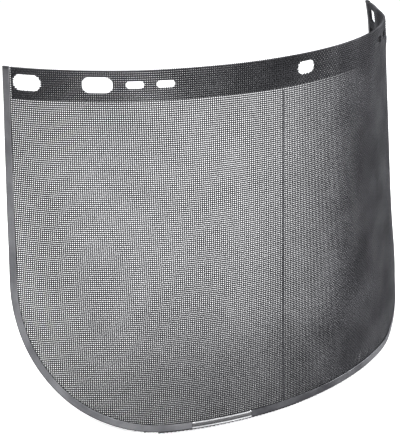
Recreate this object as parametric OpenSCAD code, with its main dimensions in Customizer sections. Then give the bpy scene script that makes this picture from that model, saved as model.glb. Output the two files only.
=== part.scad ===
// Wire-cloth face shield window: a curved sheet of woven steel wire with a doubled top
// band, slots for the headgear studs, and a metal channel bound over its other three edges.
// +Z is up and the outer, convex side faces -Y. The origin is the middle of the centre slot,
// halfway through the sheet. Rings are the sheet's level cuts, taken as circles.

/* [Part to build] */
// Name of one node, or all

/* [Screen] */
// Length of the sheet measured round the curve
screen_w = 381; // [300:1:460]
// Height of the sheet
screen_h = 228.6; // [180:1:280]
// Radius of the two rounded lower corners
corner_r = 97.5; // [60:1:105]
// Thickness of one layer of wire cloth
cloth_t = 1; // [0.6:0.1:1.4]

/* [Curve] */
// Bend radius along the row of slots
brow_r = 162; // [140:1:200]
// Bend radius at the lower edge
chin_r = 204; // [165:1:250]
// How far the lower edge sits behind the row of slots at the middle
chin_back = 2; // [0:1:16]

/* [Top band] */
// Height of the turned-down hem
hem_h = 18.5; // [15:0.5:30]
// Height of the slot centres below the top edge
slot_drop = 8.7; // [7:0.1:9]
// Length of the centre slot
centre_slot_w = 14; // [10:0.5:20]
// Height of the centre slot
centre_slot_h = 8; // [5:0.5:10]
// Length of the four large stud slots
stud_slot_w = 19; // [14:0.5:22]
// Height of the four large stud slots
stud_slot_h = 9.5; // [6:0.5:10]
// Length of the four small slots
small_slot_w = 11; // [8:0.5:13]
// Height of the four small slots
small_slot_h = 4.6; // [4.2:0.1:6]
// Cloth left between an end slot and the binding
end_slot_gap = 1.1; // [0.8:0.1:6]
// Distance of the side slots from the middle, round the curve
side_slot_arc = 130.8; // [122:0.2:134]
// Distance of the outer small slots from the middle, round the curve
small_slot_arc = 108.9; // [102:0.1:111]
// Distance between the two small slots of a pair
small_slot_pitch = 17.8; // [15:0.1:20]

/* [Binding] */
// Width of each leg of the edge channel
leg_w = 5.2; // [3.5:0.1:7]
// Thickness of the channel's metal
channel_t = 0.5; // [0.4:0.1:0.8]
// Middle of the splice sleeve, round the curve from the centre line
splice_arc = -64; // [-70:1:60]
// Length of the splice sleeve
splice_w = 40; // [20:1:50]
// Thickness of the splice sleeve's metal
sleeve_t = 0.4; // [0.3:0.1:0.8]

/* [Hidden] */
$fn = 96;
full_turn = 360;
half_turn = 180;
cloth_grey = [0.42, 0.42, 0.43];
hem_grey = [0.36, 0.36, 0.37];
channel_grey = [0.66, 0.66, 0.68];
sleeve_grey = [0.74, 0.74, 0.76];

top_z = slot_drop;
bottom_z = slot_drop - screen_h;
chin_drop = -bottom_z;
half_cloth = cloth_t / 2;
channel_half = half_cloth + channel_t;
sleeve_half = channel_half + sleeve_t;
// clear gap that keeps neighbouring nodes from sharing a face they don't touch on
clear = 0.05;
// reach of the cutters, well past the whole shield
reach = 900;
// the cone starts this share of the way from its apex to the slots, above the top edge
cone_start = 0.9;
// the cone goes this many times deeper than the lower edge
cone_past = 1.2;
// a cutter that has to pass right through something is this many times its size
through = 2;

// A level cut through a leaning cone is this much deeper, front to back, than a circle.
ring_stretch = 1.03;
front_slope = atan(chin_back / chin_drop);
rear_slope = atan((chin_back + 2 * ring_stretch * (chin_r - brow_r)) / chin_drop);
cone_tilt = (rear_slope + front_slope) / 2;
cone_half = (rear_slope - front_slope) / 2;
apex_z = 2 * ring_stretch * brow_r / (tan(rear_slope) - tan(front_slope));
apex_y = -apex_z * tan(front_slope);

// Ring at height z: its radius, its foremost point, and the plan angle of an arc length.
function ring_r(z) = brow_r - (chin_r - brow_r) * z / chin_drop;
function ring_front(z) = -chin_back * z / chin_drop;
function ring_angle(arc, z) = arc / ring_r(z) * half_turn / PI;
function ring_point(arc, z) = [
    ring_r(z) * sin(ring_angle(arc, z)),
    ring_front(z) + ring_r(z) * (1 - cos(ring_angle(arc, z)))
];

// The end edges and lower corners are cut straight through along one level direction, the
// one that meets the lower ring's end squarely, at this distance from the origin.
end_top = ring_point(screen_w / 2, top_z);
end_aim = ring_angle(screen_w / 2, bottom_z);
end_at = end_top[0] * cos(end_aim) + end_top[1] * sin(end_aim);

// Slots on one side of the middle: [arc from the middle, length, height]
side_slots = [
    [screen_w / 2 - leg_w - end_slot_gap - stud_slot_w / 2, stud_slot_w, stud_slot_h],
    [side_slot_arc, stud_slot_w, stud_slot_h],
    [small_slot_arc, small_slot_w, small_slot_h],
    [small_slot_arc - small_slot_pitch, small_slot_w, small_slot_h]
];

// Cone-shaped layer between two offsets from the middle of the cloth, outward positive.
module cone_layer(inner, outer) {
    top_s = apex_z * cone_start;
    foot_s = (apex_z + chin_drop) * cone_past;
    spread = 1 / cos(cone_half);
    translate([0, apex_y, apex_z])
        rotate([cone_tilt, 0, 0])
            rotate_extrude()
                polygon([
                    [top_s * tan(cone_half) + inner * spread, -top_s],
                    [top_s * tan(cone_half) + outer * spread, -top_s],
                    [foot_s * tan(cone_half) + outer * spread, -foot_s],
                    [foot_s * tan(cone_half) + inner * spread, -foot_s]
                ]);
}

// Level slab between two heights.
module slab(low, high) {
    translate([-reach, -reach, low]) cube([2 * reach, 2 * reach, high - low]);
}

// Everything past the right end edge and lower right corner, moved in by inset.
module past_end(inset) {
    edge = end_at - inset;
    foot = bottom_z + inset;
    round_r = corner_r - inset;
    rotate([0, 0, end_aim])
        rotate([90, 0, 0])
            translate([0, 0, -reach])
                linear_extrude(2 * reach)
                    difference() {
                        translate([edge - round_r, foot - reach / 2]) square([reach, reach]);
                        translate([edge - round_r, foot + round_r]) circle(round_r, $fn = full_turn);
                        translate([edge - round_r, foot + round_r]) square([round_r, reach]);
                    }
}

// A layer of the shield inside the outline moved in by inset, between two offsets. A cutter
// reaches past the top edge.
module outline_layer(inner, outer, inset, past_top = 0) {
    difference() {
        intersection() {
            cone_layer(inner, outer);
            slab(bottom_z + inset, top_z + past_top);
        }
        past_end(inset);
        mirror([1, 0, 0]) past_end(inset);
    }
}

// Round-ended cutter through the cloth at an arc length, in the row of slots.
module slot_cutter(arc, length, height) {
    run = length - height;
    at = ring_point(arc, 0);
    translate([at[0], at[1], 0])
        rotate([0, 0, ring_angle(arc, 0)])
            rotate([90, 0, 0])
                translate([0, 0, -stud_slot_w])
                    linear_extrude(through * stud_slot_w) {
                        square([run, height], center = true);
                        translate([-run / 2, 0]) circle(height / 2);
                        translate([run / 2, 0]) circle(height / 2);
                    }
}

module all_slots() {
    slot_cutter(0, centre_slot_w, centre_slot_h);
    for (slot = side_slots) {
        slot_cutter(slot[0], slot[1], slot[2]);
        mirror([1, 0, 0]) slot_cutter(slot[0], slot[1], slot[2]);
    }
}

// Upright wedge about the lower ring's centre, between two arc lengths of the lower edge.
module edge_wedge(from_arc, to_arc) {
    low = ring_angle(from_arc, bottom_z);
    high = ring_angle(to_arc, bottom_z);
    middle = (low + high) / 2;
    translate([0, ring_front(bottom_z) + ring_r(bottom_z), through * bottom_z])
        linear_extrude(through * screen_h)
            polygon([
                [0, 0],
                [reach * sin(low), -reach * cos(low)],
                [2 * reach * sin(middle), -2 * reach * cos(middle)],
                [reach * sin(high), -reach * cos(high)]
            ]);
}

// The whole U channel: a leg on each face of the cloth and a web over its edge.
module channel() {
    difference() {
        outline_layer(-channel_half, channel_half, 0);
        outline_layer(-through * channel_half, through * channel_half, leg_w, slot_drop);
        outline_layer(-half_cloth, half_cloth, channel_t, slot_drop);
    }
}

// The half of the space on one side of the splice's middle.
module beside_splice(side) {
    at = ring_point(splice_arc, bottom_z);
    translate([at[0], at[1], bottom_z])
        rotate([0, 0, ring_angle(splice_arc, bottom_z)])
            translate([side > 0 ? clear : -reach - clear, -reach, -reach])
                cube([reach, 2 * reach, 2 * reach]);
}

module wire_screen() {
    color(cloth_grey) difference() {
        outline_layer(-half_cloth, half_cloth, channel_t);
        all_slots();
    }
}

module top_hem() {
    color(hem_grey) difference() {
        intersection() {
            outline_layer(-half_cloth - cloth_t, -half_cloth, leg_w + clear);
            slab(top_z - hem_h, top_z);
        }
        all_slots();
    }
}

module binding_left() {
    color(channel_grey) intersection() {
        channel();
        beside_splice(-1);
    }
}

module binding_right() {
    color(channel_grey) intersection() {
        channel();
        beside_splice(1);
    }
}

module binding_splice() {
    color(sleeve_grey) intersection() {
        difference() {
            intersection() {
                cone_layer(-sleeve_half, sleeve_half);
                slab(bottom_z - sleeve_t, bottom_z + leg_w + sleeve_t);
            }
            intersection() {
                cone_layer(-channel_half, channel_half);
                slab(bottom_z, bottom_z + reach);
            }
        }
        edge_wedge(splice_arc - splice_w / 2, splice_arc + splice_w / 2);
    }
}

wire_screen();
top_hem();
binding_left();
binding_right();
binding_splice();
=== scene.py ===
"""Looks of the wire-cloth face shield window.

Every wire of the woven cloth is laid out on the flat sheet, then bent with it. The folded top
hem, the channel bound over the other edges and its splice sleeve are formed the same way. On
the flat sheet a place is (arc, z, out): the distance round the curve from the middle, the
height above the row of slots, and the distance outwards from the middle of the sheet.
Lengths are in millimetres until they reach a mesh.
"""

import math
from types import SimpleNamespace

import bmesh
import bpy
import numpy as np
from mathutils import Matrix, Vector


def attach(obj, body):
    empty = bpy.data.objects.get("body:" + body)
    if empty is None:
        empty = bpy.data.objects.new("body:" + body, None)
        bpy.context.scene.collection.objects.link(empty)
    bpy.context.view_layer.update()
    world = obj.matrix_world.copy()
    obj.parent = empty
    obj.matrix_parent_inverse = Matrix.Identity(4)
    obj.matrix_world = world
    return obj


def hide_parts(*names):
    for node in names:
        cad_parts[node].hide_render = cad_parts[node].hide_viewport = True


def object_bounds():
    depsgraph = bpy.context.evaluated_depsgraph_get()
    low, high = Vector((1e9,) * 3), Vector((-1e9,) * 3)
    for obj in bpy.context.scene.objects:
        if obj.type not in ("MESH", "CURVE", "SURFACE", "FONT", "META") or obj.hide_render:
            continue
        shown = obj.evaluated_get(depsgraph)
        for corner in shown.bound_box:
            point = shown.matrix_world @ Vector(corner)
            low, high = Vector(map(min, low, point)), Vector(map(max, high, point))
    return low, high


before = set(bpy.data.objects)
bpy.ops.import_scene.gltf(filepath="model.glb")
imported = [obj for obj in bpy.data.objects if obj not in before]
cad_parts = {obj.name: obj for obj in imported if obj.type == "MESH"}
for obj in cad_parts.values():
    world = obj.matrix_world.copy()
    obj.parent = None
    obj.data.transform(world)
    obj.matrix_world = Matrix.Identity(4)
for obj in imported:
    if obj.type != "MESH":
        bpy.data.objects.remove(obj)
cad_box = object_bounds()

MM = 0.001
BODY = "root"

# Sheet
SCREEN_W = 381.0
SCREEN_H = 228.6
CORNER_R = 97.5
CLOTH_T = 1.0
SLOT_DROP = 8.7
TOP_Z = SLOT_DROP
BOTTOM_Z = TOP_Z - SCREEN_H
CHIN_DROP = -BOTTOM_Z

# Curve
BROW_R = 162.0
CHIN_R = 204.0
CHIN_BACK = 2.0

# Woven wire
PITCH = 1.27
WARP_COUNT = round(SCREEN_W / PITCH)
WEFT_COUNT = round(SCREEN_H / PITCH)
WARP_R = 0.29
WEFT_R = 0.31
WIRE_SIDES = 6
CRIMP = 0.24
EDGE_GAP = 0.9
WIRE_GROUPS = 4
FOLD_PLACES = 5
MERGE_GAP = 0.001 * MM

# Hem and binding
HEM_H = 18.5
LEG_W = 5.2
INNER_LEG = 4.2
CHANNEL_T = 0.5
HEM_GAP = 0.3
STRIP_GAP = 0.05
STRIP_STEP = 2.0
STRIP_RIPPLE = 0.12
FOLD_Z = TOP_Z - CLOTH_T / 2
HEM_FIRST_WEFT = WEFT_COUNT - round(HEM_H / PITCH)
HEM_REACH = SCREEN_W / 2 - LEG_W - HEM_GAP

# How far the hem's level wires sit below the outer layer's, and how that wanders round the curve
HEM_SHIFT = 0.37 * PITCH
HEM_WANDER = 0.11 * PITCH
HEM_ALIGNED_ARC = -145.0
HEM_WANDER_LONG = 38.0

# Splice sleeve
SPLICE_ARC = -63.0
SPLICE_W = 40.0
SLEEVE_T = 0.4
SLEEVE_STEP = 1.5
SLEEVE_SPARE = 0.1

# Slots: distance from the middle, length, height
CENTRE_SLOT = (0.0, 14.0, 8.0)
SIDE_SLOTS = ((174.7, 19.0, 9.5), (130.8, 19.0, 9.5), (108.9, 11.0, 4.6), (91.1, 11.0, 4.6))
SLOTS = [(side * arc, length, height) for arc, length, height in SIDE_SLOTS for side in (-1, 1)]
SLOTS.append(CENTRE_SLOT)


# --- the bent sheet ---------------------------------------------------------------------------


def ring_r(z):
    """Radius of the curve at that height."""
    return BROW_R - (CHIN_R - BROW_R) * z / CHIN_DROP


def ring_front(z):
    """How far back the curve's foremost point lies at that height."""
    return -CHIN_BACK * z / CHIN_DROP


def tilt(turn):
    """Share of the outward direction that points up, at that turn round the curve."""
    widen = -(CHIN_R - BROW_R) / CHIN_DROP
    recede = -CHIN_BACK / CHIN_DROP
    return (recede + widen) * np.cos(turn) - widen


# The upright ends are cut by one plane. It faces the way that the sheet runs at its lower end, and
# stands as far out as the top corner does.
END_AIM = 0.5 * SCREEN_W / ring_r(BOTTOM_Z)
END_TURN = 0.5 * SCREEN_W / ring_r(TOP_Z)
END_X = ring_r(TOP_Z) * math.sin(END_TURN)
END_Y = ring_front(TOP_Z) + ring_r(TOP_Z) * (1 - math.cos(END_TURN))
END_AT = END_X * math.cos(END_AIM) + END_Y * math.sin(END_AIM)


def arc_at(reach, z):
    """Arc of the place at height z that reaches that far along the end's direction."""
    lean = (reach - (ring_front(z) + ring_r(z)) * math.sin(END_AIM)) / ring_r(z)
    return ring_r(z) * (END_AIM + np.arcsin(lean))


# Creases left beside the binding where it was drawn round the right lower corner: their middle,
# spread and depth, the length and slant of their waves, and the even strip kept by the edge
PUCKER_ARC = 60.0
PUCKER_Z = BOTTOM_Z + 10.5
PUCKER_LONG = 15.0
PUCKER_HIGH = 4.5
PUCKER_DIP = 1.3
PUCKER_WAVE = 9.0
PUCKER_SLANT = 0.6
PUCKER_EDGE = 1.0
PUCKER_FADE = 5.0

# The creases' even share of the depth, and their waves as (rate, phase, share)
PUCKER_EVEN = 0.75
PUCKER_WAVES = ((1.0, 0.0, 0.15), (1.7, 1.0, 0.1))

# Places where the cloth swells outwards, or inwards where its rise is negative: arc, height,
# spread, rise
SWELLS = (
    (127.0, -2.0, 9.0, 1.0),
    (158.0, 0.0, 15.0, -1.2),
    (191.0, -2.0, 20.0, 1.5),
    (128.0, BOTTOM_Z + 48.0, 30.0, 2.0),
)


def pushed_out(arc, z):
    """How far the cloth and its binding stand out of the even curve."""
    near = ((arc - PUCKER_ARC) / PUCKER_LONG) ** 2 + ((z - PUCKER_Z) / PUCKER_HIGH) ** 2
    along = 2 * math.pi * (arc - PUCKER_ARC - PUCKER_SLANT * (z - PUCKER_Z)) / PUCKER_WAVE
    depth = PUCKER_EVEN
    for rate, phase, share in PUCKER_WAVES:
        depth = depth + share * np.cos(rate * along + phase)
    inside = np.clip((z - BOTTOM_Z - PUCKER_EDGE) / PUCKER_FADE, 0, 1)
    out = -PUCKER_DIP * inside * np.exp(-near) * depth
    for swell_arc, swell_z, spread, rise in SWELLS:
        out = out + rise * np.exp(-((arc - swell_arc) ** 2 + (z - swell_z) ** 2) / spread**2)
    return out


def bend(places):
    """Flat places (arc, z, out) in millimetres to places on the bent sheet in metres."""
    arc, z, out = places[:, 0], places[:, 1], places[:, 2]
    out = out + pushed_out(arc, z)
    radius = ring_r(z)
    turn = arc / radius
    rise = tilt(turn)
    size = np.sqrt(1 + rise**2)
    x = radius * np.sin(turn) + out * np.sin(turn) / size
    y = ring_front(z) + radius * (1 - np.cos(turn)) - out * np.cos(turn) / size
    return np.column_stack((x, y, z + out * rise / size)) * MM


# --- the outline ------------------------------------------------------------------------------


def half_outline():
    """Places (arc, z) along the outline from the middle of the lower edge to the right top end."""
    steps = 240
    lower = [(arc, BOTTOM_Z) for arc in np.linspace(0, arc_at(END_AT - CORNER_R, BOTTOM_Z), steps)]
    corner = []
    for turn in np.linspace(0, math.pi / 2, steps)[1:]:
        z = BOTTOM_Z + CORNER_R * (1 - math.cos(turn))
        corner.append((arc_at(END_AT - CORNER_R * (1 - math.sin(turn)), z), z))
    end = [(arc_at(END_AT, z), z) for z in np.linspace(BOTTOM_Z + CORNER_R, TOP_Z, steps)[1:]]
    return np.array(lower + corner + end)


HALF = half_outline()
OUTLINE = np.concatenate((HALF[:0:-1] * (-1, 1), HALF))

# Distance along the outline from the middle of the lower edge, at each of the outline's places
RUN = np.concatenate(([0.0], np.cumsum(np.hypot(*np.diff(OUTLINE, axis=0).T))))
RUN -= RUN[-1] / 2
RUN_END = RUN[-1]


def edge_place(run):
    """Place (arc, z) on the outline that far along it from the middle of the lower edge."""
    return np.column_stack((np.interp(run, RUN, OUTLINE[:, 0]), np.interp(run, RUN, OUTLINE[:, 1])))


def edge_inward(run):
    """Direction on the flat sheet that points inwards, square to the outline."""
    near = 2.0
    ahead = edge_place(np.minimum(run + near, RUN_END)) - edge_place(np.maximum(run - near, -RUN_END))
    ahead /= np.hypot(*ahead.T)[:, None]
    return np.column_stack((-ahead[:, 1], ahead[:, 0]))


def low_edge(arc):
    """Height of the lower edge under that arc."""
    return float(np.interp(abs(arc), HALF[:, 0], HALF[:, 1]))


def side_edge(z):
    """Arc of the right edge at that height."""
    rising = HALF[HALF[:, 1] > BOTTOM_Z]
    return float(np.interp(z, rising[:, 1], rising[:, 0]))


# --- the weave --------------------------------------------------------------------------------


# How far the wires wander at the lower edge, sideways and upwards, and in fine waves everywhere
DRIFT_SIDEWAYS = 1.1
DRIFT_UPWARDS = 0.9
FINE_DRIFT = 0.15

# Those waves' lengths along the arc and up the sheet, for a turn of one radian
SIDEWAYS_WAVE = (47.0, 90.0)
UPWARDS_WAVE = 61.0
UPWARDS_START = 0.8
FINE_WAVE = (13.0, 31.0)


def warp_arc(i):
    """Arc of an upright wire."""
    return (i + 0.5) * PITCH - SCREEN_W / 2


def weft_z(j):
    """Height of a level wire."""
    return BOTTOM_Z + (j + 0.5) * PITCH


def drift(arc, z):
    """How far the cloth's wires have wandered from straight, along the arc and upwards.

    The long waves grow from nothing at the top edge, and the fine ones are even all over.
    """
    low = np.clip((TOP_Z - z) / SCREEN_H, 0, 1)
    sideways = DRIFT_SIDEWAYS * low * np.sin(arc / SIDEWAYS_WAVE[0] + z / SIDEWAYS_WAVE[1])
    upwards = DRIFT_UPWARDS * low * np.sin(arc / UPWARDS_WAVE - UPWARDS_START)
    fine = FINE_DRIFT * np.sin(arc / FINE_WAVE[0] + z / FINE_WAVE[1])
    return sideways, upwards + fine


def slot_spans(at, warp):
    """Stretches of a wire that the slots cut out. A warp is crossed upwards, a weft along the arc."""
    spans = []
    for arc, length, height in SLOTS:
        round_r = height / 2
        straight = length / 2 - round_r
        if warp:
            past = max(abs(at - arc) - straight, 0)
            if past < round_r:
                half = math.sqrt(round_r**2 - past**2)
                spans.append((-half, half))
        elif abs(at) < round_r:
            half = straight + math.sqrt(round_r**2 - at**2)
            spans.append((arc - half, arc + half))
    return spans


def cut_runs(low, high, spans):
    """The stretches from low to high that are left between the cut spans, less the tiniest."""
    runs = []
    for start, stop in sorted(spans):
        if start > low and start < high:
            runs.append((low, start))
        if stop > low:
            low = stop
    if low < high:
        runs.append((low, high))
    return [run for run in runs if run[1] - run[0] > WARP_R]


def wire_run(route, start, stop, key):
    """The part of a wire's route between two values of its coordinate key, with cut ends."""
    inside = route[(route[:, key] > start) & (route[:, key] < stop)]
    ends = [[np.interp(cut, route[:, key], route[:, k]) for k in range(3)] for cut in (start, stop)]
    return np.vstack((ends[:1], inside, ends[1:]))


def warp_route(i, layer, wefts):
    """One upright wire over and under a range of wefts, in the layer that far outwards."""
    j = np.arange(*wefts)
    arc = np.full(j.shape, warp_arc(i))
    z = weft_z(j)
    sideways, upwards = drift(arc, z)
    out = layer + CRIMP * (1 - 2 * ((i + j) % 2))
    return np.column_stack((arc + sideways, z + upwards, out))


def weft_route(j, layer, warps):
    """One level wire over and under a range of warps, in the layer that far outwards."""
    i = np.arange(*warps)
    arc = warp_arc(i)
    z = np.full(i.shape, weft_z(j))
    sideways, upwards = drift(arc, z)
    out = layer - CRIMP * (1 - 2 * ((i + j) % 2))
    return np.column_stack((arc + sideways, z + upwards, out))


def warp_runs(first, last):
    """The upright wires of the main sheet from one count to another."""
    runs = []
    for i in range(first, last):
        route = warp_route(i, 0.0, (-1, WEFT_COUNT + 1))
        arc = warp_arc(i)
        bottom = low_edge(arc) + EDGE_GAP
        for start, stop in cut_runs(bottom, FOLD_Z, slot_spans(arc, warp=True)):
            runs.append(wire_run(route, start, stop, key=1))
    return runs


def weft_runs(first, last):
    """The level wires of the main sheet from one count to another."""
    runs = []
    for j in range(first, last):
        route = weft_route(j, 0.0, (-1, WARP_COUNT + 1))
        reach = side_edge(weft_z(j)) - EDGE_GAP
        for start, stop in cut_runs(-reach, reach, slot_spans(weft_z(j), warp=False)):
            runs.append(wire_run(route, start, stop, key=0))
    return runs


def fold_route(arc):
    """The wire's turn over the top edge, from the outer layer to the inner one."""
    turns = np.linspace(0, math.pi, FOLD_PLACES)
    half = CLOTH_T / 2
    z = FOLD_Z + (half - WARP_R) * np.sin(turns)
    out = -half + half * np.cos(turns)
    return np.column_stack((np.full(turns.shape, arc), z, out))


def hem_warp_runs():
    """The folded-over ends of the warps, each with its turn over the top edge."""
    runs = []
    for i in range(WARP_COUNT):
        arc = warp_arc(i)
        if abs(arc) > HEM_REACH:
            continue
        route = warp_route(i, -CLOTH_T, (HEM_FIRST_WEFT - 1, WEFT_COUNT + 1))
        route[:, 1] -= hem_shift(arc)
        for start, stop in cut_runs(TOP_Z - HEM_H, FOLD_Z, slot_spans(arc, warp=True)):
            run = wire_run(route, start, stop, key=1)
            if stop == FOLD_Z:
                run = np.vstack((run[:-1], fold_route(run[-1][0])[::-1]))
            runs.append(run)
    return runs


def hem_shift(arc):
    """How far the hem's layer is shifted down at that arc."""
    return HEM_SHIFT + HEM_WANDER * (1 - np.cos((arc - HEM_ALIGNED_ARC) / HEM_WANDER_LONG))


def hem_weft_runs():
    """The level wires of the folded-over layer."""
    runs = []
    for j in range(HEM_FIRST_WEFT + 1, WEFT_COUNT):
        route = weft_route(j, -CLOTH_T, (0, WARP_COUNT))
        route[:, 1] -= hem_shift(route[:, 0])
        z = weft_z(j) - HEM_SHIFT - HEM_WANDER
        for start, stop in cut_runs(-HEM_REACH, HEM_REACH, slot_spans(z, warp=False)):
            runs.append(wire_run(route, start, stop, key=0))
    return runs


def finished(name, mesh, material):
    """A piece of the face shield, riding on its body."""
    mesh.name = name
    mesh.materials.clear()
    mesh.materials.append(material)
    piece = bpy.data.objects.new(name, mesh)
    bpy.context.scene.collection.objects.link(piece)
    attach(piece, BODY)
    return piece


def wire_piece(name, runs, material, radius):
    """Bends the runs of wire with the sheet and gives them their thickness."""
    curve = bpy.data.curves.new(name, "CURVE")
    curve.dimensions = "3D"
    curve.bevel_depth = radius * MM
    curve.bevel_resolution = WIRE_SIDES // 2 - 2
    curve.use_fill_caps = True
    for run in runs:
        spline = curve.splines.new("POLY")
        spline.points.add(len(run) - 1)
        place = np.column_stack((bend(run), np.ones(len(run))))
        spline.points.foreach_set("co", place.ravel())
        spline.use_smooth = True
    drawn = bpy.data.objects.new(name + "_curve", curve)
    bpy.context.scene.collection.objects.link(drawn)
    depsgraph = bpy.context.evaluated_depsgraph_get()
    mesh = bpy.data.meshes.new_from_object(drawn.evaluated_get(depsgraph))
    bpy.data.objects.remove(drawn)
    close_ends(mesh)
    return finished(name, mesh, material)


def close_ends(mesh):
    """Joins each wire's end caps to its sides, with a sharp rim.

    Both face outwards as drawn. A recalculation turns some of these long thin wires inside out,
    so their directions are kept.
    """
    bm = bmesh.new()
    bm.from_mesh(mesh)
    bmesh.ops.remove_doubles(bm, verts=bm.verts, dist=MERGE_GAP)
    for face in bm.faces:
        face.smooth = len(face.verts) == 4
    bm.to_mesh(mesh)
    bm.free()


# --- formed strips ----------------------------------------------------------------------------


# Lengths of a strip's ripples, and of the swelling and fading of their height, for a turn of one
# radian, and where that swelling starts
RIPPLE_LONG = 9.0
RIPPLE_SWELL = 31.0
RIPPLE_START = 1.0

# Places round a channel's nose, and how far its hollow is eased into the legs
NOSE_PLACES = 9
HOLLOW_EASE = 0.4


def formed_strip(name, section, start, stop, step, material, wave):
    """A straight strip of that section (inward, out), swept along, then formed round the outline.

    Its own map keeps how far along and how far inwards each place lay before the forming. Its
    ripples stand that wave in and out of the even curve.
    """
    bm = bmesh.new()
    ring = [bm.verts.new((start, inward, out)) for inward, out in section]
    bm.faces.new(ring)
    count = math.ceil((stop - start) / step)
    bmesh.ops.spin(
        bm,
        geom=bm.verts[:] + bm.edges[:] + bm.faces[:],
        axis=(1, 0, 0),
        dvec=((stop - start) / count, 0, 0),
        angle=0,
        steps=count,
    )
    bmesh.ops.recalc_face_normals(bm, faces=bm.faces)
    around = bm.loops.layers.uv.new("strip")
    for face in bm.faces:
        for loop in face.loops:
            run, inward, out = loop.vert.co
            loop[around].uv = (run * MM, inward * MM)
        face.smooth = True
    flat = np.array([vert.co for vert in bm.verts])
    swell = np.sin(flat[:, 0] / RIPPLE_SWELL + RIPPLE_START)
    ripple = wave * np.sin(flat[:, 0] / RIPPLE_LONG) * swell
    place = edge_place(flat[:, 0]) + edge_inward(flat[:, 0]) * flat[:, 1:2]
    formed = bend(np.column_stack((place, flat[:, 2] + ripple)))
    for vert, co in zip(bm.verts, formed):
        vert.co = co
    mesh = bpy.data.meshes.new(name)
    bm.to_mesh(mesh)
    bm.free()
    return finished(name, mesh, material)


def channel_section(inside, thick, leg, bead, rise, sink):
    """Section of an edge channel: a round-nosed web, and legs whose inner edge is a raised bead.

    The legs are sunk by sink between the nose and the bead, and the bead stands out by rise.
    The leg inside the face shield is the shorter one.
    """
    outside = inside + thick
    nose = [
        (outside * (1 - math.cos(turn)), outside * math.sin(turn))
        for turn in np.linspace(-math.pi / 2, math.pi / 2, NOSE_PLACES)
    ]
    leg_face = [
        (outside + 0.5 * bead, outside),
        (outside + bead, outside - sink),
        (leg - 1.5 * bead, outside - sink),
        (leg - bead, outside + 0.5 * rise),
        (leg - 0.6 * bead, outside + rise),
        (leg - 0.2 * bead, outside + 0.4 * rise),
        (leg, outside - 0.5 * thick),
        (leg, inside),
    ]
    hollow = [(thick + HOLLOW_EASE, inside), (thick, 0.6 * inside)]
    hollow += [(inward, -out) for inward, out in reversed(hollow)]
    short = INNER_LEG / leg
    other_leg = [(short * inward, -out) for inward, out in reversed(leg_face)]
    return nose + leg_face + hollow + other_leg


# --- materials --------------------------------------------------------------------------------


def tree_maker(tree):
    """Functions that add and join the nodes of a tree."""

    def add(kind, **settings):
        node = tree.nodes.new(kind)
        for key, value in settings.items():
            if key in node.inputs:
                node.inputs[key].default_value = value
            else:
                setattr(node, key, value)
        return node

    def join(source, target):
        tree.links.new(source, target)

    return SimpleNamespace(nodes=tree.nodes, add=add, join=join)


def node_maker(name):
    """A new material with its shader, and functions that add and join its nodes."""
    material = bpy.data.materials.new(name)
    material.use_nodes = True
    make = tree_maker(material.node_tree)
    make.material = material
    make.shader = make.nodes["Principled BSDF"]
    return make


def blend_colours(make, factor, dark, light):
    """A ramp between two colours over a factor's middle range."""
    ramp = make.add("ShaderNodeValToRGB")
    ramp.color_ramp.elements[0].position = 0.35
    ramp.color_ramp.elements[0].color = (*dark, 1)
    ramp.color_ramp.elements[1].position = 0.65
    ramp.color_ramp.elements[1].color = (*light, 1)
    make.join(factor, ramp.inputs["Fac"])
    return ramp.outputs["Color"]


def noise(make, coordinates, scale, detail, stretch=(1, 1, 1)):
    """Cloudy noise at those coordinates, stretched along their axes."""
    mapping = make.add("ShaderNodeMapping")
    mapping.inputs["Scale"].default_value = stretch
    make.join(coordinates, mapping.inputs["Vector"])
    texture = make.add("ShaderNodeTexNoise", Scale=scale, Detail=detail, Roughness=0.55)
    make.join(mapping.outputs["Vector"], texture.inputs["Vector"])
    return texture.outputs["Fac"]


def ranged(make, factor, low, high):
    """A factor from 0 to 1 spread over the range from low to high."""
    span = make.add("ShaderNodeMapRange")
    span.inputs["To Min"].default_value = low
    span.inputs["To Max"].default_value = high
    make.join(factor, span.inputs["Value"])
    return span.outputs["Result"]


def bumped(make, height, strength, depth):
    """Roughens the surface by that height, up to a depth in metres."""
    bump = make.add("ShaderNodeBump", Strength=strength, Distance=depth)
    make.join(height, bump.inputs["Height"])
    make.join(bump.outputs["Normal"], make.shader.inputs["Normal"])


# Painted shade: its colour, how much of it lies in the middle of a line, and how streaks vary that
PAINTED_SHADE_COLOUR = (0.06, 0.06, 0.062, 1)
PAINTED_SHADE_MOST = 0.85
PAINTED_SHADE_STREAKS = (0.55, 1.2)


def painted_shade_line(make, colour, along, streaks, middle, half_width):
    """Paints shade over a colour across a line that far inwards from the strip's edge, with streaks.
    """
    across = make.add("ShaderNodeSeparateXYZ")
    make.join(along, across.inputs["Vector"])
    away = make.add("ShaderNodeMath", operation="SUBTRACT")
    away.inputs[1].default_value = middle * MM
    make.join(across.outputs["Y"], away.inputs[0])
    distance = make.add("ShaderNodeMath", operation="ABSOLUTE")
    make.join(away.outputs["Value"], distance.inputs[0])
    shade_mask = make.add("ShaderNodeMapRange")
    shade_mask.inputs["From Min"].default_value = half_width * MM
    shade_mask.inputs["From Max"].default_value = 0.6 * half_width * MM
    shade_mask.inputs["To Max"].default_value = PAINTED_SHADE_MOST
    make.join(distance.outputs["Value"], shade_mask.inputs["Value"])
    amount = make.add("ShaderNodeMath", operation="MULTIPLY")
    make.join(shade_mask.outputs["Result"], amount.inputs[0])
    make.join(ranged(make, streaks, *PAINTED_SHADE_STREAKS), amount.inputs[1])
    # Painted shade: the colour is mixed towards a dark one along this line
    mixed = make.add("ShaderNodeMix", data_type="RGBA")
    make.join(amount.outputs["Value"], mixed.inputs["Factor"])
    make.join(colour, mixed.inputs[6])
    mixed.inputs[7].default_value = PAINTED_SHADE_COLOUR
    return mixed.outputs[2]


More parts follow.
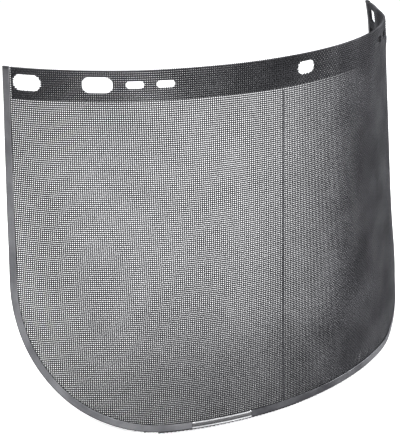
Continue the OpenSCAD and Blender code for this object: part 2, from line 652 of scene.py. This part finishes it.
def wire_finish(name, dark, light):
    """Dull drawn steel wire: patches of tarnish, fine die marks and rubbed spots."""
    make = node_maker(name)
    place = make.add("ShaderNodeTexCoord").outputs["Object"]
    patches = noise(make, place, scale=35.0, detail=5.0)
    marks = noise(make, place, scale=2600.0, detail=2.0)
    make.join(blend_colours(make, patches, dark, light), make.shader.inputs["Base Color"])
    make.join(ranged(make, patches, 0.62, 0.46), make.shader.inputs["Roughness"])
    bumped(make, marks, strength=0.35, depth=0.00004)
    make.shader.inputs["Metallic"].default_value = 0.85
    return make.material


def strip_finish(name, dark, light, rough, shaded_lines):
    """Satin rolled metal: rolling lines along the strip, cloudy handling marks, small pits.

    Painted shade darkens each of the shaded lines, a (middle, half width) inwards from the edge.
    """
    make = node_maker(name)
    along = make.add("ShaderNodeUVMap", uv_map="strip").outputs["UV"]
    place = make.add("ShaderNodeTexCoord").outputs["Object"]
    lines = noise(make, along, scale=160.0, detail=6.0, stretch=(1, 28, 1))
    clouds = noise(make, place, scale=42.0, detail=5.0)
    pits = noise(make, place, scale=900.0, detail=3.0)
    colour = blend_colours(make, clouds, dark, light)
    # Painted shade along the nose, and in the sleeve's groove
    for middle, half_width in shaded_lines:
        colour = painted_shade_line(make, colour, along, lines, middle, half_width)
    make.join(colour, make.shader.inputs["Base Color"])
    make.join(ranged(make, lines, rough - 0.12, rough + 0.14), make.shader.inputs["Roughness"])
    mixed = make.add("ShaderNodeMix", data_type="FLOAT")
    mixed.inputs["Factor"].default_value = 0.35
    make.join(lines, mixed.inputs["A"])
    make.join(pits, mixed.inputs["B"])
    bumped(make, mixed.outputs["Result"], strength=0.5, depth=0.00012)
    make.shader.inputs["Metallic"].default_value = 0.9
    return make.material


# Lines of painted shade on the nose and in the groove: middle and half width, inwards from the edge
SHADED_NOSE = (0.0, 0.9)
SHADED_GROOVE = (2.9, 1.4)

# Finishes: name, darkest and lightest colour, then a strip's roughness and lines of painted shade
WIRE_STEEL = wire_finish("wire_steel", (0.1, 0.1, 0.107), (0.15, 0.15, 0.158))
# Painted light: the hem's and the reed mark's wire is the cloth's steel given a lighter colour
STEEL_PAINTED_LIGHTER = wire_finish("steel_painted_lighter", (0.13, 0.13, 0.137), (0.2, 0.2, 0.21))
# The two binding strips are one metal: the left one is painted lighter and the right one darker,
# painted light and shade
STRIP_METAL_PAINTED_LIT = strip_finish(
    "strip_metal_painted_lighter", (0.22, 0.22, 0.23), (0.33, 0.33, 0.34), 0.36, [SHADED_NOSE]
)
STRIP_METAL_PAINTED_SHADED = strip_finish(
    "strip_metal_painted_darker", (0.115, 0.115, 0.123), (0.21, 0.21, 0.22), 0.4, [SHADED_NOSE]
)
SLEEVE_METAL = strip_finish(
    "sleeve_metal", (0.52, 0.52, 0.53), (0.74, 0.74, 0.75), 0.26, [SHADED_NOSE, SHADED_GROOVE]
)


# --- the pieces -------------------------------------------------------------------------------


def wire_screen():
    """The main cloth, in groups of wires small enough to handle."""
    for name, count, wires, radius in (
        ("warp_wires", WARP_COUNT, warp_runs, WARP_R),
        ("weft_wires", WEFT_COUNT, weft_runs, WEFT_R),
    ):
        for group in range(WIRE_GROUPS):
            first = group * count // WIRE_GROUPS
            last = (group + 1) * count // WIRE_GROUPS
            piece = wire_piece(f"{name}_{group + 1}", wires(first, last), WIRE_STEEL, radius)
            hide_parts("wire_screen")


# The doubled wire lies midway between two warps, near this arc
REED_MARK_NEAR = -19.3
REED_MARK_ARC = warp_arc(round((SCREEN_W / 2 + REED_MARK_NEAR) / PITCH)) + 0.5 * PITCH


def reed_mark():
    """A doubled warp wire, left where the loom's reed was bent."""
    z = weft_z(np.arange(0, HEM_FIRST_WEFT))
    sideways, upwards = drift(np.full(z.shape, REED_MARK_ARC), z)
    run = np.column_stack((REED_MARK_ARC + sideways, z + upwards, np.full(z.shape, CRIMP)))
    # Painted light: the doubled wire gets the lighter copy of the cloth's steel
    piece = wire_piece("reed_mark_wire", [run], STEEL_PAINTED_LIGHTER, WARP_R)
    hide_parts("wire_screen")


def top_hem():
    """The layer folded down inside the top edge."""
    for name, runs, radius in (
        ("hem_warp_wires", hem_warp_runs(), WARP_R),
        ("hem_weft_wires", hem_weft_runs(), WEFT_R),
    ):
        # Painted light: the hem's wires get the lighter copy of the cloth's steel
        piece = wire_piece(name, runs, STEEL_PAINTED_LIGHTER, radius)
        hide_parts("top_hem")


def splice_run():
    """How far along the outline the splice lies."""
    return float(np.interp(SPLICE_ARC, OUTLINE[:, 0], RUN))


def bindings():
    """The channel folded over the edges, in two lengths that meet under the splice."""
    section = channel_section(CLOTH_T / 2, CHANNEL_T, LEG_W, bead=0.7, rise=0.2, sink=0.0)
    middle = splice_run()
    for name, node, start, stop, metal in (
        # Painted light and shade: the left strip's metal is a lighter copy, the right strip's a
        # darker one
        ("binding_strip_left", "binding_left", -RUN_END, middle - STRIP_GAP, STRIP_METAL_PAINTED_LIT),
        ("binding_strip_right", "binding_right", middle + STRIP_GAP, RUN_END, STRIP_METAL_PAINTED_SHADED),
    ):
        piece = formed_strip(name, section, start, stop, STRIP_STEP, metal, STRIP_RIPPLE)
        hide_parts(node)


def splice_sleeve():
    """The short sleeve pressed over the place where the two strips meet."""
    inside = CLOTH_T / 2 + CHANNEL_T + STRIP_GAP
    section = channel_section(inside, SLEEVE_T, LEG_W + SLEEVE_SPARE, bead=0.8, rise=0.15, sink=0.3)
    start = splice_run() - SPLICE_W / 2
    stop = splice_run() + SPLICE_W / 2
    piece = formed_strip("splice_sleeve", section, start, stop, SLEEVE_STEP, SLEEVE_METAL, 0.0)
    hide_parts("binding_splice")


wire_screen()
reed_mark()
top_hem()
bindings()
splice_sleeve()


# --- floor, light, camera ---------------------------------------------------------------------


# The floor's half width, the gap under the object, the floor's own glow beside the object and
# far away, and the distances between which that changes, in metres
FLOOR_HALF = 6.0
FLOOR_GAP = 0.0005
NEAR_GLOW = 0.27
FAR_GLOW = 0.75
GLOW_FROM = 1.3
GLOW_TO = 3.0
PAPER = (0.93, 0.93, 0.93, 1)


def floor():
    """A pale paper floor that glows more far away, so that it has no visible end."""
    bm = bmesh.new()
    bmesh.ops.create_grid(bm, x_segments=1, y_segments=1, size=FLOOR_HALF)
    bmesh.ops.translate(bm, verts=bm.verts, vec=(0, 0, cad_box[0].z - FLOOR_GAP))
    mesh = bpy.data.meshes.new("floor")
    bm.to_mesh(mesh)
    bm.free()
    make = node_maker("floor_paper")
    make.shader.inputs["Base Color"].default_value = PAPER
    make.shader.inputs["Roughness"].default_value = 0.9
    make.shader.inputs["Emission Color"].default_value = (1, 1, 1, 1)
    away = make.add("ShaderNodeVectorMath", operation="LENGTH")
    make.join(make.add("ShaderNodeTexCoord").outputs["Object"], away.inputs[0])
    glow = make.add("ShaderNodeMapRange")
    glow.inputs["From Min"].default_value = GLOW_FROM
    glow.inputs["From Max"].default_value = GLOW_TO
    glow.inputs["To Min"].default_value = NEAR_GLOW
    glow.inputs["To Max"].default_value = FAR_GLOW
    make.join(away.outputs["Value"], glow.inputs["Value"])
    make.join(glow.outputs["Result"], make.shader.inputs["Emission Strength"])
    mesh.materials.append(make.material)
    ground = bpy.data.objects.new("floor", mesh)
    bpy.context.scene.collection.objects.link(ground)


def area_light(name, place, aim, size, power):
    """A round soft light of that size in metres, turned towards its aim."""
    light = bpy.data.lights.new(name, "AREA")
    light.shape = "DISK"
    light.size = size
    light.energy = power
    lamp = bpy.data.objects.new(name, light)
    lamp.location = place
    lamp.rotation_euler = (Vector(aim) - Vector(place)).to_track_quat("-Z", "Y").to_euler()
    bpy.context.scene.collection.objects.link(lamp)


# The studio's bright wall: its direction, how bright it and the far walls are, and its falling off
BRIGHT_SIDE = (-0.67, -0.73, 0.1)
BRIGHT_WALL = 0.72
DIM_WALL = 0.5
WALL_FALLOFF = 2.0
WALL_COLOUR = (0.97, 0.98, 1.0, 1)
BACKDROP = (1, 1, 1, 1)

# Lights: name, then place, aim and size in metres, then power in watts
SHIELD_MIDDLE = (0, 0, -0.1)
LIGHTS = (
    ("key_light", (-0.75, -0.85, 0.5), SHIELD_MIDDLE, 0.5, 12),
    ("fill_light", (1.3, -0.25, 0.9), SHIELD_MIDDLE, 1.2, 26),
    ("inner_light", (0.05, 0.35, 0.5), (0.05, 0.1, -0.22), 0.5, 1.5),
)


def studio_world():
    """Soft light from all round, brighter from one side. The camera sees a plain white backdrop."""
    world = bpy.data.worlds.new("studio")
    world.use_nodes = True
    make = tree_maker(world.node_tree)
    facing = make.add("ShaderNodeVectorMath", operation="DOT_PRODUCT")
    facing.inputs[1].default_value = BRIGHT_SIDE
    make.join(make.add("ShaderNodeTexCoord").outputs["Generated"], facing.inputs[0])
    ahead = make.add("ShaderNodeMath", operation="MAXIMUM")
    ahead.inputs[1].default_value = 0.0
    make.join(facing.outputs["Value"], ahead.inputs[0])
    lobe = make.add("ShaderNodeMath", operation="POWER", use_clamp=True)
    lobe.inputs[1].default_value = WALL_FALLOFF
    make.join(ahead.outputs["Value"], lobe.inputs[0])
    walls = make.nodes["Background"]
    walls.inputs["Color"].default_value = WALL_COLOUR
    strength = ranged(make, lobe.outputs["Value"], DIM_WALL, BRIGHT_WALL)
    make.join(strength, walls.inputs["Strength"])
    backdrop = make.add("ShaderNodeBackground", Color=BACKDROP)
    mixed = make.add("ShaderNodeMixShader")
    make.join(make.add("ShaderNodeLightPath").outputs["Is Camera Ray"], mixed.inputs["Fac"])
    make.join(walls.outputs["Background"], mixed.inputs[1])
    make.join(backdrop.outputs["Background"], mixed.inputs[2])
    make.join(mixed.outputs["Shader"], make.nodes["World Output"].inputs["Surface"])
    bpy.context.scene.world = world


# Camera: the point it turns about and its distance from there in metres, its turn in degrees, and
# its lens and sensor in millimetres
CAMERA_AIM = (-0.0499, 0.0437, -0.0938)
CAMERA_DISTANCE = 0.8421
CAMERA_YAW = -37.93
CAMERA_PITCH = 18.84
CAMERA_ROLL = -1.67
LENS = 122.09
SENSOR = 36.0


def camera():
    """The camera, from the outside and a little above."""
    lens = bpy.data.cameras.new("camera")
    lens.sensor_fit = "HORIZONTAL"
    lens.sensor_width = SENSOR
    lens.lens = LENS
    lens.clip_start = 0.01
    eye = bpy.data.objects.new("camera", lens)
    yaw, pitch, roll = (math.radians(angle) for angle in (CAMERA_YAW, CAMERA_PITCH, CAMERA_ROLL))
    turn = (
        Matrix.Rotation(yaw, 4, "Z")
        @ Matrix.Rotation(math.pi / 2 - pitch, 4, "X")
        @ Matrix.Rotation(roll, 4, "Z")
    )
    back = Matrix.Translation((0, 0, CAMERA_DISTANCE))
    eye.matrix_world = Matrix.Translation(Vector(CAMERA_AIM)) @ turn @ back
    bpy.context.scene.collection.objects.link(eye)
    bpy.context.scene.camera = eye


# Below 1, this darkens the middle tones and leaves black and white where they are
CONTRAST = 0.65

floor()
studio_world()
for light in LIGHTS:
    area_light(*light)
camera()
bpy.context.scene.view_settings.view_transform = "Standard"
bpy.context.scene.view_settings.gamma = CONTRAST
